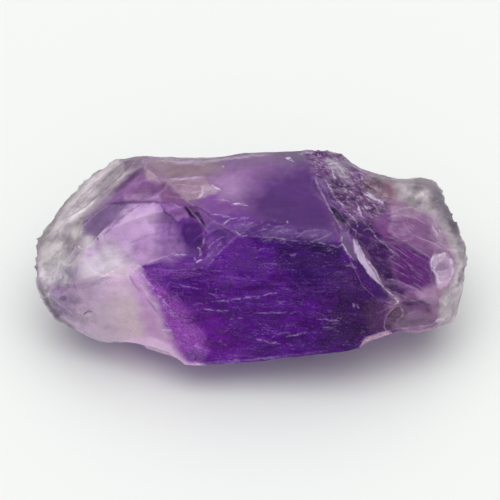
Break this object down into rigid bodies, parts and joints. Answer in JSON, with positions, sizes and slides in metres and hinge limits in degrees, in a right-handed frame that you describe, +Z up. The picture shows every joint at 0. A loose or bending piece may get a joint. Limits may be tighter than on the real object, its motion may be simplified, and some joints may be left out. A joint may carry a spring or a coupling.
{
  "type": "rough amethyst",
  "caption": "Elongated broken piece of violet quartz with shell-shaped breaks, a pale rind at both ends and a flat resting break.",
  "frame": {"origin": "on the table plane, under the middle of the stone's bounding box", "axes": "+X along the stone's length to its right-hand end, +Y to its back, +Z up, with the stone lying on its flat break"},
  "size_m": [0.03, 0.0146, 0.0114],
  "materials": {
    "amethyst": "broken quartz, glassy on the breaks and frosted on chips and rind"
  },
  "bodies": {
    "root": {"amethyst": "amethyst"}
  },
  "joints": []
}
